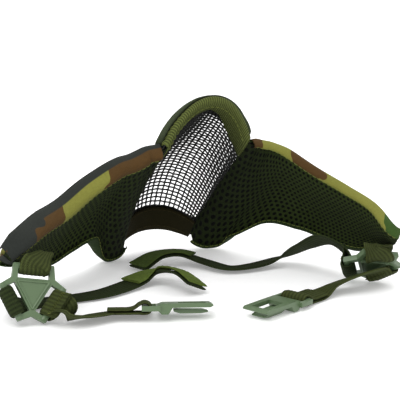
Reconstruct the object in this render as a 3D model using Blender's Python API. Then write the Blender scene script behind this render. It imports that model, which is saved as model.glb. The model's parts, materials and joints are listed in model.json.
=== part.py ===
"""Camouflage half-face mask: a pressed steel mesh face with padded cheek wings, webbing loops,
three-way buckles, a two-part head strap and two helmet-rail straps with snap clips.

The mask lies on a flat surface, leaning back on its jaw tabs, with the inside towards +Y.
The wearer's left is +X. Sizes below are in millimetres; the scene is in metres.
"""

import math

import bmesh
import bpy
import numpy as np
from mathutils import Matrix, Vector

MM = 0.001
FRAME_SHIFT = (-12.1, -31.2, 0.0)  # puts the origin under the middle of the mask and its buckles

# ---------------------------------------------------------------- driving dimensions
# The steel face in its own frame: (half width, y, z) at the lip edge, (half width, y, z) at the
# nose edge, and how far the shell crowns outwards between them.
FACE_HALF = (
    ((0.0, -41.0, 13.3), (0.0, 47.6, 109.4), 17.0),
    ((10.0, -39.8, 12.5), (8.5, 47.2, 107.4), 15.0),
    ((17.5, -37.2, 10.5), (15.5, 46.2, 102.2), 11.0),
    ((21.8, -35.0, 9.0), (21.5, 44.0, 94.5), 7.5),
    ((24.8, -33.2, 7.5), (28.4, 41.5, 82.5), 4.5),
)
FACE_TURN = math.radians(14.3)
FACE_TILT = math.radians(-1.0)
FACE_PLACE = (14.2, -3.0, 0.0)

# The wings, from the face to the rear end: lower edge, upper edge, outward crown.
LEFT_WING = (
    ((50, -26, 2.4), (38.3, 41, 79.8), 4.0),
    ((57, -19, 1.5), (43, 42.5, 77.4), 4.5),
    ((62, -15, 4.0), (48, 44, 75.4), 5.0),
    ((66.5, -6.5, 12.5), (54, 46, 74), 5.5),
    ((71, 6, 20.5), (61, 49, 71), 6.0),
    ((83, 14, 17), (74, 53, 63.6), 6.0),
    ((98, 27, 12.4), (88.5, 61, 54), 5.0),
    ((111, 48, 17), (103.5, 76, 48.7), 4.0),
    ((121.5, 72, 25.5), (117.5, 91, 42), 2.5),
    ((126, 83, 27), (124.5, 93, 38), 1.0),
)
RIGHT_WING = (
    ((-7, -39, 3.2), (-29, 27, 81.5), 4.0),
    ((-14, -37.5, 1.9), (-33, 25.5, 80), 4.5),
    ((-21.5, -33, 3.2), (-37, 25.5, 79), 5.0),
    ((-29, -25, 11), (-41, 28, 77.5), 5.5),
    ((-44, -15, 21), (-46, 32, 75), 6.0),
    ((-65, 0, 19.5), (-61, 39, 64.5), 5.5),
    ((-78, 21, 15.5), (-76, 54, 55.5), 5.0),
    ((-88, 44, 14.5), (-87, 73, 48.5), 4.0),
    ((-97, 66, 22), (-93, 89, 39), 2.5),
    ((-100.5, 76, 28), (-98, 88, 36), 1.0),
)

# Layers of a padded wing, as offsets from the mid surface; outwards is positive.
LINING = (-4.1, -2.6)
FOAM = (-2.3, 0.6)
COVER = (1.0, 1.9)
MESH = (-0.6, 0.6)
EDGE_INSET = 2.7  # how far the layers stay inside the bound edge
MESH_TUCK = 7.0  # how far the steel runs in between cover and lining
FOAM_GAP = 0.8
JOIN_GAP = 1.2  # from the crease to a binding's end
COVER_JOIN_GAP = 3.0  # the same for the thick pieces outside, which close up round the crease

# U-shaped bindings: (offset, distance from the edge), outside of the U first, then its inside.
RIM_BINDING = (
    ((-5.6, 5.5), (-5.6, 1.6), (-3.4, 0.0), (1.2, 0.0), (3.0, 1.6), (3.0, 5.5)),
    ((-4.95, 5.5), (-4.95, 1.7), (-4.4, 1.5), (1.9, 1.5), (2.35, 1.7), (2.35, 5.5)),
)
HEM_BINDING = (
    ((-5.6, 4.0), (-5.6, 1.0), (-3.8, 0.0), (1.6, 0.0), (3.1, 1.0), (3.1, 4.0)),
    ((-5.0, 4.0), (-5.0, 1.7), (-4.4, 1.5), (2.0, 1.5), (2.45, 1.7), (2.45, 4.0)),
)
CHIN_STRIP = (
    ((-2.0, 14.0), (-2.0, 8.0), (-2.0, 1.2), (-1.2, 0.0), (1.2, 0.0), (2.0, 1.2), (2.0, 8.0), (2.0, 14.0)),
    ((-1.1, 14.0), (-1.1, 8.0), (-1.1, 2.4), (-0.6, 2.2), (0.6, 2.2), (1.1, 2.4), (1.1, 8.0), (1.1, 14.0)),
)
NOSE_BINDING = (
    ((-2.3, 9.0), (-2.6, 6.0), (-2.8, 3.0), (-1.6, 0.0), (1.2, 0.0), (2.2, 1.6), (2.0, 5.0)),
    ((-1.1, 9.0), (-1.1, 6.0), (-1.1, 2.6), (-0.6, 2.3), (0.6, 2.3), (1.1, 2.6), (1.1, 5.0)),
)
NOSE_COVER = (
    (1.0, 5.8), (1.0, 21.0), (2.0, 21.5), (4.6, 16.0), (6.4, 9.0), (6.2, 4.0), (4.4, 1.4), (2.8, 2.2),
    (2.6, 5.8),
)
# How far the nose binding reaches down the inside, at fractions of the way from the nose ridge to
# a crease: its flanks widen into the pads beside the nose.
NOSE_REACH = ((0.0, 0.23, 0.5, 0.7, 1.0), (9.5, 13.0, 20.5, 21.5, 17.5))

STRAP_WIDTH = 16.0
STRAP_THICKNESS = 1.6
LOOP_THICKNESS = 1.4
PATCH_LENGTH = 46.0
PATCH_THICKNESS = 1.5
STACK_GAP = 0.5  # air between a strap and the patch sewn on it

LEFT_PATCH_SIDE, RIGHT_PATCH_SIDE = 1, 1

# Three-way buckle: three slotted bars round one plate, in its own frame.
BUCKLE_THICKNESS = 3.2
SLOT_WIDTH = 17.0
SLOT_INNER = 6.7
BAR_INNER = 11.4
BAR_OUTER = 14.6
BAR_AXIS = (BAR_INNER + BAR_OUTER) / 2
BAR_HALF = 11.0
CORNER_NOTCH = 13.6
# centre, turn about +Z, lean of its top away from the wearer, spin in its own plane
BUCKLE_LEFT = ((111.5, 98.0, 17.0), 12.0, 28.0, -12.0)
BUCKLE_RIGHT = ((-86.8, 70.7, 13.7), -8.0, -48.0, -14.0)
WRAP_RADIUS = 3.45  # centre line of a strap round a bar

# A webbing loop from its sewn top round the buckle's top bar, in the bar's frame: y, z, width,
# and how far along the bar the sewn top sits.
WEBBING_LOOP = (
    (7.8, 1.05, 8.0), (5.2, 2.1, 11.5), (2.7, 3.1, 15.5), (0.0, 3.4, 16.0), (-2.6, 2.6, 16.0),
    (-3.6, 0.0, 16.0), (-2.6, -2.6, 16.0), (0.0, -3.4, 16.0), (2.7, -3.1, 15.5), (5.2, -2.1, 11.5),
    (7.8, -1.05, 8.0), (8.9, 0.0, 8.0),
)
LOOP_TOP_LEFT, LOOP_TOP_RIGHT = 6.8, -10.0

# How each strap leaves its buckle bar: lead, side of the tail, tail length. Then its run: x, y, z, roll.
LEFT_HEAD_WRAP = (-95, -1, 10)
LEFT_HEAD_RUN = (
    (121, 81, 6.0, 36), (112, 73, 3.0, 10), (93, 64, 1.3, 0), (69, 57, 1.5, 0), (52, 45, 2.2, 0),
    (41, 38, 4.2, -4), (32, 39, 7.2, -12), (26, 47, 8.8, -20), (21, 58, 8.4, -26), (17, 69, 6.0, -26),
)
RIGHT_HEAD_WRAP = (-90, 1, 12)
RIGHT_HEAD_RUN = (
    (-67, 50, 24, 34), (-58, 34, 17, 16), (-51, 19, 8, 8), (-41, 16, 3.8, 8), (-29, 19, 2.2, 7),
    (-14, 21, 2.2, 7), (-1, 8, 3.6, 8), (13, 1, 7.2, 8), (27, 2, 6.8, 6), (41, 11, 2.8, 0),
)
LEFT_RAIL_WRAP = (60, 1, 10)
LEFT_RAIL_RUN = ((94, 110, 5.4, -20), (86, 108, 4.2, -16), (78, 104, 3.6, -13))
RIGHT_RAIL_WRAP = (140, 1, 10)
RIGHT_RAIL_RUN = ((-90, 74, 9.5, 30), (-82, 79, 11, 24), (-73, 80, 9, 20), (-60, 80, 4.5, 10))

# Rail clip, along its own X from the strap bar to the blade's tip.
CLIP_SIDE = (
    (-1.6, 2.2), (-1.6, 5.2), (6.6, 5.2), (9.5, 6.2), (35.0, 6.2), (36.6, 5.4), (36.6, 4.7),
    (35.0, 3.9), (15.0, 3.9), (12.6, 0.4), (9.0, 0.4), (7.2, 2.2),
)
CLIP_WIDTH = 17.0
CLIP_BAR_WIDTH = 21.0
CLIP_SLOT = (1.6, 6.0)
CLIP_WINDOW = (18.0, 33.0, 10.0)
TONGUE_SIDE = ((15.4, 1.6), (15.4, 3.0), (31.0, 2.7), (34.0, 1.9), (34.0, 1.1), (30.0, 0.5), (19.0, 0.5))
TONGUE_WIDTH = 9.0
CLIP_LEFT = ((52.5, 104.0, 2.2), 171.0, -13.0)
CLIP_RIGHT = ((-34.0, 97.0, 0.0), 37.0, 0.0)

WING_STEPS = 24
WING_ROWS = 7
FACE_STEPS = 22
FACE_ROWS = 12


# ---------------------------------------------------------------- the mask's curved surface
def face_station(row, side):
    """One station of the steel face, turned and placed, on the +X side or mirrored."""
    turn = Matrix.Rotation(FACE_TURN, 3, "Z") @ Matrix.Rotation(FACE_TILT, 3, "Y")
    low, high = (turn @ Vector((p[0] * side, p[1], p[2])) + Vector(FACE_PLACE) for p in row[:2])
    return (*low, *high, row[2])


def wing_station(row):
    return (*row[0], *row[1], row[2])


def all_stations():
    """Every station from the left rear end, over the face, to the right rear end."""
    left = [wing_station(row) for row in reversed(LEFT_WING)]
    face = [face_station(row, 1) for row in reversed(FACE_HALF)]
    face += [face_station(row, -1) for row in FACE_HALF[1:]]
    return np.array(left + face + [wing_station(row) for row in RIGHT_WING])


STATIONS = all_stations()
STEPS = np.linalg.norm(np.diff(STATIONS[:, :3], axis=0), axis=1)
STEPS = (STEPS + np.linalg.norm(np.diff(STATIONS[:, 3:6], axis=0), axis=1)) / 2
KNOTS = np.concatenate([[0.0], np.cumsum(STEPS)])
LEFT_END, RIGHT_END = 0.0, KNOTS[-1]
LEFT_CREASE = KNOTS[len(LEFT_WING)]
RIGHT_CREASE = KNOTS[len(LEFT_WING) + 2 * len(FACE_HALF) - 2]
SLOPES = np.gradient(STATIONS, KNOTS, axis=0)


def hermite(u, knots, values, slopes):
    i = int(np.clip(np.searchsorted(knots, u) - 1, 0, len(knots) - 2))
    h = knots[i + 1] - knots[i]
    x = (u - knots[i]) / h
    return (
        (2 * x**3 - 3 * x**2 + 1) * values[i]
        + (x**3 - 2 * x**2 + x) * h * slopes[i]
        + (3 * x**2 - 2 * x**3) * values[i + 1]
        + (x**3 - x**2) * h * slopes[i + 1]
    )


def crown_profile(t):
    """How full the shell is from the lower edge to the upper: flatter towards the upper edge."""
    return 1.0 * t * (1 - t) + 5.2 * t * (1 - t) ** 2


def mid_surface(u, t):
    """A point of the mid surface: u along the mask in mm, t from the lower edge to the upper."""
    here = hermite(u, KNOTS, STATIONS, SLOPES)
    low, high, crown = here[:3], here[3:6], here[6]
    before = hermite(u - 1.0, KNOTS, STATIONS, SLOPES)
    after = hermite(u + 1.0, KNOTS, STATIONS, SLOPES)
    along = (after - before)[:3] + (after - before)[3:6]
    outwards = np.cross(high - low, along)
    outwards /= np.linalg.norm(outwards)
    return low + (high - low) * t + outwards * crown * crown_profile(t)


def skin(u, t, offset):
    """A point at a distance from the mid surface, outwards when positive."""
    along = mid_surface(u + 0.5, t) - mid_surface(u - 0.5, t)
    up = mid_surface(u, t + 0.005) - mid_surface(u, t - 0.005)
    normal = np.cross(up, along)
    return mid_surface(u, t) + normal / np.linalg.norm(normal) * offset


def height(u):
    here = hermite(u, KNOTS, STATIONS, SLOPES)
    return float(np.linalg.norm(here[3:6] - here[:3]))


# ---------------------------------------------------------------- mesh helpers
def make_object(name, points, faces, material, origin=(0, 0, 0)):
    """A mesh object from points in millimetres; its origin sits on the piece's joint axis."""
    mesh = bpy.data.meshes.new(name)
    mesh.from_pydata([tuple((np.array(p) - origin) * MM) for p in points], [], faces)
    shape = bmesh.new()
    shape.from_mesh(mesh)
    bmesh.ops.triangulate(shape, faces=shape.faces[:])
    bmesh.ops.recalc_face_normals(shape, faces=shape.faces[:])
    shape.to_mesh(mesh)
    shape.free()
    mesh.materials.append(material)
    mesh.shade_smooth()
    mesh.set_sharp_from_angle(angle=math.radians(35))
    piece = bpy.data.objects.new(name, mesh)
    piece.location = (np.array(origin) + FRAME_SHIFT) * MM
    bpy.context.scene.collection.objects.link(piece)
    return piece


def material(name, colour, roughness, metallic=0.0):
    made = bpy.data.materials.new(name)
    made.use_nodes = True
    shader = made.node_tree.nodes["Principled BSDF"]
    shader.inputs["Base Color"].default_value = (*colour, 1.0)
    shader.inputs["Roughness"].default_value = roughness
    shader.inputs["Metallic"].default_value = metallic
    return made


def layer(name, run, rows, inset, offsets, finish):
    """A closed sheet between two offsets, inset from the lower and upper edges."""
    points, faces = [], []
    steps = len(run) - 1
    for offset in offsets:
        for u in run:
            edge = inset / height(u)
            for t in np.linspace(edge, 1 - edge, rows + 1):
                points.append(skin(u, t, offset))
    across, side = rows + 1, (steps + 1) * (rows + 1)
    for i in range(steps):
        for j in range(rows):
            a = i * across + j
            quad = (a, a + 1, a + across + 1, a + across)
            faces += [quad, tuple(side + k for k in reversed(quad))]
    rim = [i * across for i in range(steps)]
    rim += [steps * across + j for j in range(rows)]
    rim += [i * across + rows for i in range(steps, 0, -1)]
    rim += [j for j in range(rows, 0, -1)]
    for a, b in zip(rim, rim[1:] + rim[:1]):
        faces.append((a, b, side + b, side + a))
    return make_object(name, points, faces, finish)


def nose_reach(u):
    """The nose binding's inner width at u."""
    ridge = (LEFT_CREASE + RIGHT_CREASE) / 2
    way = abs(u - ridge) / (RIGHT_CREASE - ridge)
    return float(np.interp(way, *NOSE_REACH))


def nose_padding(u):
    """How far the nose cover swells at u, from thin over the ridge to full on its flanks."""
    ridge = (LEFT_CREASE + RIGHT_CREASE) / 2
    return float(np.interp(abs(u - ridge) / (RIGHT_CREASE - ridge), (0.0, 0.6), (0.35, 1.0)))


def edge_sweep(name, run, contour, upper, finish, widen=None):
    """A U-shaped binding run along the lower or the upper edge."""
    outside, inside = contour
    ring = list(outside) + list(reversed(inside))
    count = len(ring)
    steps = len(run) - 1
    points, faces = [], []
    for u in run:
        for offset, reach in ring:
            if widen and offset < 0 and reach > 4:
                reach *= widen(u) / inside[0][1]
            t = reach / height(u)
            points.append(skin(u, 1 - t if upper else t, offset))
    for i in range(steps):
        for j in range(count):
            k = (j + 1) % count
            faces.append((i * count + j, i * count + k, (i + 1) * count + k, (i + 1) * count + j))
    for base in (0, steps * count):
        for j in range(len(outside) - 1):
            faces.append((base + j, base + j + 1, base + count - 2 - j, base + count - 1 - j))
    return make_object(name, points, faces, finish)


def smooth_path(points, count):
    """Evenly spaced rows read from one smooth curve through the given rows."""
    rows = np.array(points, float)
    knots = np.concatenate([[0], np.cumsum(np.linalg.norm(np.diff(rows[:, :3], axis=0), axis=1))])
    slopes = np.gradient(rows, knots, axis=0)
    return np.array([hermite(u, knots, rows, slopes) for u in np.linspace(0, knots[-1], count)])


def band(name, rows, width, thickness, finish, closed=False, origin=(0, 0, 0), lift=0.0):
    """A flat strap: each row is a point of its centre line and the direction across it."""
    centre, across = rows[:, :3], rows[:, 3:6]
    if closed:
        along = np.roll(centre, -1, axis=0) - np.roll(centre, 1, axis=0)
    else:
        along = np.gradient(centre, axis=0)
    along /= np.linalg.norm(along, axis=1)[:, None]
    across = across - along * np.sum(across * along, axis=1)[:, None]
    across /= np.linalg.norm(across, axis=1)[:, None]
    normal = np.cross(along, across)
    points, faces = [], []
    widths = np.broadcast_to(width, len(centre))
    for p, a, n, wide in zip(centre, across, normal, widths):
        middle = p + n * lift
        for x, y in ((-1, -1), (1, -1), (1, 1), (-1, 1)):
            points.append(middle + a * x * wide / 2 + n * y * thickness / 2)
    total = len(centre)
    for i in range(total if closed else total - 1):
        j = (i + 1) % total
        for k in range(4):
            m = (k + 1) % 4
            faces.append((4 * i + k, 4 * i + m, 4 * j + m, 4 * j + k))
    if not closed:
        last = 4 * (total - 1)
        faces += [(0, 1, 2, 3), (last, last + 1, last + 2, last + 3)]
    return make_object(name, points, faces, finish, origin)


def prism(name, outline, low, high, frame, finish, origin=(0, 0, 0)):
    """A flat outline between two heights, placed by a 4x4 frame."""
    points = [frame @ Vector((x, y, z)) for z in (low, high) for x, y in outline]
    count = len(outline)
    faces = [tuple(range(count)), tuple(range(count, 2 * count))]
    for i in range(count):
        j = (i + 1) % count
        faces.append((i, j, count + j, count + i))
    return make_object(name, points, faces, finish, origin)


def boolean(target, cutter, operation):
    modifier = target.modifiers.new(cutter.name, "BOOLEAN")
    modifier.operation = operation
    modifier.object = cutter
    cutter.hide_render = True
    cutter.display_type = "WIRE"


# ---------------------------------------------------------------- placing frames
def degrees_about(angle, axis):
    return Matrix.Rotation(math.radians(angle), 4, axis)


def buckle_frame(placing):
    """X along the top bar, Y from the centre to the top bar, Z towards the wearer."""
    place, turn, lean, spin = placing
    upright = degrees_about(180 + turn, "Z") @ degrees_about(90 - lean, "X")
    return Matrix.Translation(Vector(place)) @ upright @ degrees_about(spin, "Z")


def bar_frame(placing, index):
    """The frame of a buckle's bar: X along it, Y outwards. 0 is the top bar, 1 and 2 the lower."""
    return buckle_frame(placing) @ degrees_about(120 * index, "Z") @ Matrix.Translation((0, BAR_AXIS, 0))


def clip_frame(placing):
    """X from the strap bar to the blade's tip, Z up, rolled about X."""
    place, turn, roll = placing
    return Matrix.Translation(Vector(place)) @ degrees_about(turn, "Z") @ degrees_about(roll, "X")


def row_at(frame, point, across):
    """A strap row: a point of its centre line, and the direction across it."""
    direction = frame.to_3x3() @ Vector(across)
    return [*(frame @ Vector(point)), *direction]


def wrap_rows(frame, lead, side, tail):
    """Rows of a strap from its sewn tail, round a bar and out again.

    The strap leaves the bar at lead degrees from the bar's outward direction; the tail lies on
    the side of it that side names, 1 or -1.
    """
    turned = frame @ degrees_about(lead, "X")
    rows = [row_at(turned, (0, y, side * 1.0), (1, 0, 0)) for y in (tail, (tail + 8) / 2)]
    rows.append(row_at(turned, (0, 6.5, side * 1.4), (1, 0, 0)))
    for angle in (50, 95, 140, 180, 220, 265, 310):
        y = math.cos(math.radians(angle)) * WRAP_RADIUS
        z = math.sin(math.radians(angle)) * WRAP_RADIUS * side
        rows.append(row_at(turned, (0, y, z), (1, 0, 0)))
    rows.append(row_at(turned, (0, 6.5, -side * 1.4), (1, 0, 0)))
    return rows


def run_rows(places):
    """Rows along a surface, each (x, y, z, roll): level across at roll 0, tipped by roll degrees."""
    places = np.array(places, float)
    along = np.gradient(places[:, :3], axis=0)
    rows = []
    for (x, y, z, roll), (ax, ay, _) in zip(places, along):
        level = math.cos(math.radians(roll)) / math.hypot(ax, ay)
        rows.append([x, y, z, -ay * level, ax * level, math.sin(math.radians(roll))])
    return rows


def aligned(rows):
    """Turn each row's across direction so that it agrees with the row before."""
    rows = np.array(rows)
    for before, row in zip(rows, rows[1:]):
        if before[3:] @ row[3:] < 0:
            row[3:] = -row[3:]
    return rows


# ---------------------------------------------------------------- the mask's pieces
def wing_run(crease, end):
    """The stations that every layer and binding of a wing shares."""
    way = 1 if end > crease else -1
    near = [crease + way * d for d in (JOIN_GAP, COVER_JOIN_GAP, 4.2, 5.6, MESH_TUCK, MESH_TUCK + FOAM_GAP)]
    rest = end - way * 1.0 - near[-1]
    return near + [near[-1] + rest * (k / WING_STEPS) ** 1.25 for k in range(1, WING_STEPS + 1)]


def face_run():
    middle = np.linspace(LEFT_CREASE + COVER_JOIN_GAP, RIGHT_CREASE - COVER_JOIN_GAP, FACE_STEPS)
    return [LEFT_CREASE + JOIN_GAP, *middle, RIGHT_CREASE - JOIN_GAP]


def make_face(paint):
    run = face_run()
    left = [u for u in wing_run(LEFT_CREASE, LEFT_END) if u > LEFT_CREASE - MESH_TUCK - 0.1]
    right = [u for u in wing_run(RIGHT_CREASE, RIGHT_END) if u < RIGHT_CREASE + MESH_TUCK + 0.1]
    layer("steel_mesh_face", left[::-1] + run + right, FACE_ROWS, 3.0, MESH, paint["steel"])
    edge_sweep("chin_strip", run, CHIN_STRIP, False, paint["chin"])
    edge_sweep("nose_binding", run, NOSE_BINDING, True, paint["binding"], nose_reach)


def make_nose_cover(paint):
    """The padded strip outside the nose edge, tucked under the binding."""
    count = len(NOSE_COVER)
    run = face_run()[1:-1]
    steps = len(run) - 1
    points, faces = [], []
    for u in run:
        for offset, reach in NOSE_COVER:
            if offset > NOSE_COVER[-1][0]:
                offset = NOSE_COVER[-1][0] + (offset - NOSE_COVER[-1][0]) * nose_padding(u)
            points.append(skin(u, 1 - reach / height(u), offset))
    for i in range(steps):
        for j in range(count):
            k = (j + 1) % count
            faces.append((i * count + j, i * count + k, (i + 1) * count + k, (i + 1) * count + j))
    faces += [tuple(range(count)), tuple(range(steps * count, (steps + 1) * count))]
    make_object("nose_cover", points, faces, paint["cover"])


def make_wing(side, crease, end, paint):
    run = wing_run(crease, end)
    layer(f"{side}_cheek_cover", run[1:], WING_ROWS, EDGE_INSET, COVER, paint["cover"])
    layer(f"{side}_cheek_foam", run[5:-1], WING_ROWS, EDGE_INSET + 0.8, FOAM, paint["foam"])
    layer(f"{side}_cheek_lining", run[1:], WING_ROWS, EDGE_INSET, LINING, paint["lining"])
    edge_sweep(f"{side}_rim_binding", run[2:], RIM_BINDING, True, paint["rim"])
    edge_sweep(f"{side}_lower_binding", run[3:], HEM_BINDING, False, paint["hem"])


# ---------------------------------------------------------------- the harness
def make_buckle(side, placing, paint):
    frame = buckle_frame(placing)
    outline = []
    for index in range(3):
        turn = degrees_about(-120 * index, "Z").to_3x3()
        corner = (math.sin(math.radians(60)) * CORNER_NOTCH, math.cos(math.radians(60)) * CORNER_NOTCH)
        for x, y in ((-BAR_HALF, BAR_OUTER), (BAR_HALF, BAR_OUTER), corner):
            outline.append(tuple(turn @ Vector((x, y, 0)))[:2])
    origin = np.array(bar_frame(placing, 0).translation)
    half = BUCKLE_THICKNESS / 2
    buckle = prism(f"{side}_buckle", outline, -half, half, frame, paint["plastic"], origin)
    for index in range(3):
        slot = [(x * SLOT_WIDTH / 2, y) for x, y in
                ((-1, SLOT_INNER), (1, SLOT_INNER), (1, BAR_INNER), (-1, BAR_INNER))]
        place = frame @ degrees_about(120 * index, "Z")
        boolean(buckle, prism(f"{side}_slot_cutter_{index}", slot, -5, 5, place, paint["plastic"]), "DIFFERENCE")
    return buckle


def make_clip(side, placing, paint):
    frame = clip_frame(placing)
    on_side = frame @ degrees_about(90, "X")
    origin = np.array(frame @ Vector((0, 0, 3.7)))
    half = CLIP_WIDTH / 2
    clip = prism(f"{side}_rail_clip", CLIP_SIDE, -half, half, on_side, paint["plastic"], origin)
    wide = CLIP_BAR_WIDTH / 2
    collar = prism(
        f"{side}_clip_collar", ((-1.5, -wide), (8.4, -wide), (8.4, wide), (-1.5, wide)),
        2.3, 5.1, frame, paint["plastic"],
    )
    boolean(clip, collar, "UNION")
    low, high = CLIP_SLOT
    edge = SLOT_WIDTH / 2
    slot = prism(
        f"{side}_clip_slot", ((low, -edge), (high, -edge), (high, edge), (low, edge)),
        -1, 9, frame, paint["plastic"],
    )
    boolean(clip, slot, "DIFFERENCE")
    low, high, width = CLIP_WINDOW
    edge = width / 2
    window = prism(
        f"{side}_clip_window", ((low, -edge), (high, -edge), (high, edge), (low, edge)),
        3.3, 9, frame, paint["plastic"],
    )
    boolean(clip, window, "DIFFERENCE")
    hinge = np.array(frame @ Vector((15.2, 0, 2.8)))
    half = TONGUE_WIDTH / 2
    prism(f"{side}_clip_tongue", TONGUE_SIDE, -half, half, on_side, paint["plastic"], hinge)
    return clip


def make_strap(name, rows, count, paint, origin, width=STRAP_WIDTH):
    path = smooth_path(rows, count)
    band(name, path, width, STRAP_THICKNESS, paint["webbing"], origin=origin)
    return path


# A strap's end round the clip's bar, in the clip's frame seen from the side.
CLIP_WRAP = (
    (-18, 1.1), (-8, 1.1), (-3, 1.1), (0, 0.95), (2.4, 1.5), (3.3, 3.7), (2.4, 5.9), (0, 6.8),
    (-2.8, 5.8), (-5.5, 3.9), (-8.5, 3.1), (-13, 3.05), (-20, 3.05),
)


def clip_rows(placing):
    frame = clip_frame(placing)
    return [row_at(frame, (x, 0, z), (0, 1, 0)) for x, z in CLIP_WRAP]


def make_straps(paint):
    left_1, left_2 = bar_frame(BUCKLE_LEFT, 1), bar_frame(BUCKLE_LEFT, 2)
    right_1, right_2 = bar_frame(BUCKLE_RIGHT, 1), bar_frame(BUCKLE_RIGHT, 2)
    left_head = wrap_rows(left_1, *LEFT_HEAD_WRAP) + run_rows(LEFT_HEAD_RUN)
    right_head = wrap_rows(right_1, *RIGHT_HEAD_WRAP) + run_rows(RIGHT_HEAD_RUN)
    left_rail = wrap_rows(left_2, *LEFT_RAIL_WRAP) + run_rows(LEFT_RAIL_RUN) + clip_rows(CLIP_LEFT)
    right_rail = wrap_rows(right_2, *RIGHT_RAIL_WRAP) + run_rows(RIGHT_RAIL_RUN) + clip_rows(CLIP_RIGHT)
    paths = {}
    for name, rows, bar, count in (
        ("left_head_strap", left_head, left_1, 64), ("right_head_strap", right_head, right_1, 76),
        ("left_rail_strap", left_rail, left_2, 64), ("right_rail_strap", right_rail, right_2, 70),
    ):
        paths[name] = smooth_path(aligned(rows), count)
        hinge = np.array(bar.translation)
        band(name, paths[name], STRAP_WIDTH, STRAP_THICKNESS, paint["webbing"], origin=hinge)
    lift = STRAP_THICKNESS / 2 + STACK_GAP + PATCH_THICKNESS / 2
    for name, strap, bar, rows, way in (
        ("left_loop_patch", "left_head_strap", left_1, 20, LEFT_PATCH_SIDE),
        ("right_hook_patch", "right_head_strap", right_1, 16, RIGHT_PATCH_SIDE),
    ):
        path = paths[strap][-rows:]
        hinge = np.array(bar.translation)
        band(name, path, STRAP_WIDTH - 0.6, PATCH_THICKNESS, paint["patch"], origin=hinge, lift=lift * way)


def make_webbing_loop(side, placing, top, paint):
    """A closed loop of webbing, gathered where it is sewn, round the buckle's top bar."""
    frame = bar_frame(placing, 0)
    rows = []
    for y, z, width in WEBBING_LOOP:
        along = top * max(0.0, y / WEBBING_LOOP[-1][0])
        rows.append([*row_at(frame, (along, y, z), (1, 0, 0)), width])
    rows = np.array(rows)
    closed = np.vstack([rows[-3:], rows, rows[:3]])
    knots = np.arange(len(closed), dtype=float)
    slopes = np.gradient(closed, knots, axis=0)
    smooth = np.array([hermite(u, knots, closed, slopes) for u in np.arange(3, len(rows) + 3, 0.5)])
    origin = np.array(frame.translation)
    band(
        f"{side}_webbing_loop", smooth[:, :6], smooth[:, 6], LOOP_THICKNESS, paint["webbing"],
        closed=True, origin=origin,
    )

def make_harness(paint):
    make_buckle("left", BUCKLE_LEFT, paint)
    make_buckle("right", BUCKLE_RIGHT, paint)
    make_clip("left", CLIP_LEFT, paint)
    make_clip("right", CLIP_RIGHT, paint)
    make_straps(paint)
    make_webbing_loop("left", BUCKLE_LEFT, LOOP_TOP_LEFT, paint)
    make_webbing_loop("right", BUCKLE_RIGHT, LOOP_TOP_RIGHT, paint)


def clear_scene():
    for item in list(bpy.data.objects):
        bpy.data.objects.remove(item, do_unlink=True)


def make_paint():
    return {
        "steel": material("steel", (0.02, 0.02, 0.02), 0.45, 0.8),
        "chin": material("chin", (0.035, 0.032, 0.015), 0.9),
        "binding": material("binding", (0.12, 0.15, 0.05), 0.9),
        "cover": material("cover", (0.10, 0.11, 0.08), 0.9),
        "foam": material("foam", (0.05, 0.05, 0.05), 0.95),
        "lining": material("lining", (0.02, 0.035, 0.012), 0.95),
        "rim": material("rim", (0.30, 0.30, 0.10), 0.9),
        "hem": material("hem", (0.03, 0.05, 0.02), 0.9),
        "webbing": material("webbing", (0.07, 0.10, 0.03), 0.85),
        "plastic": material("plastic", (0.15, 0.25, 0.13), 0.4),
        "patch": material("patch", (0.09, 0.12, 0.04), 0.95),
    }


def main():
    clear_scene()
    paint = make_paint()
    make_face(paint)
    make_nose_cover(paint)
    make_wing("left", LEFT_CREASE, LEFT_END, paint)
    make_wing("right", RIGHT_CREASE, RIGHT_END, paint)
    make_harness(paint)


main()
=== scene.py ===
"""Camouflage half-face mask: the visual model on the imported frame.

Shapes are worked out in millimetres, as in the model's own source, and written in metres. The
mask lies on a pale floor with its inside towards +Y, and the camera looks into it from behind.
"""
import json
import math

import bmesh
import bpy
import numpy as np
from mathutils import Matrix, Vector

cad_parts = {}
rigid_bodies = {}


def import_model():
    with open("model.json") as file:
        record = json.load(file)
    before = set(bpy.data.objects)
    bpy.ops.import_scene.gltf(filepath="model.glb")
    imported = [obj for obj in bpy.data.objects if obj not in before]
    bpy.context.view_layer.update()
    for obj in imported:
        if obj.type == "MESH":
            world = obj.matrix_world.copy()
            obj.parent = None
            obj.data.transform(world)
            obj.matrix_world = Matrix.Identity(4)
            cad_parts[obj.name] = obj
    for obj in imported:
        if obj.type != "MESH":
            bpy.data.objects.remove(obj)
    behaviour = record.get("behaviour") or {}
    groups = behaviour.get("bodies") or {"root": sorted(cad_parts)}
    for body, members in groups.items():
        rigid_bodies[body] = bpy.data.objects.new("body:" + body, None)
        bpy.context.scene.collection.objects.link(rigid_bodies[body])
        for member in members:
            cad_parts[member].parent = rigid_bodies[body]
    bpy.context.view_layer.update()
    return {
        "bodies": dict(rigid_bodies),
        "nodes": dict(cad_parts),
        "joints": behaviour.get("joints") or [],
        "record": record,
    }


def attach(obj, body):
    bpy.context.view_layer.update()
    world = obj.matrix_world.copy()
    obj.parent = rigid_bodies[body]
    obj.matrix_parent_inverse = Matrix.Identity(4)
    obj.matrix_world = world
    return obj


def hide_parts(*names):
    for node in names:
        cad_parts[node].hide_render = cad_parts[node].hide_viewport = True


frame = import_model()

MM = 0.001
SHIFT = np.array((-12.1, -31.2, 0.0))  # from the shapes' own origin to the frame's


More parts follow.
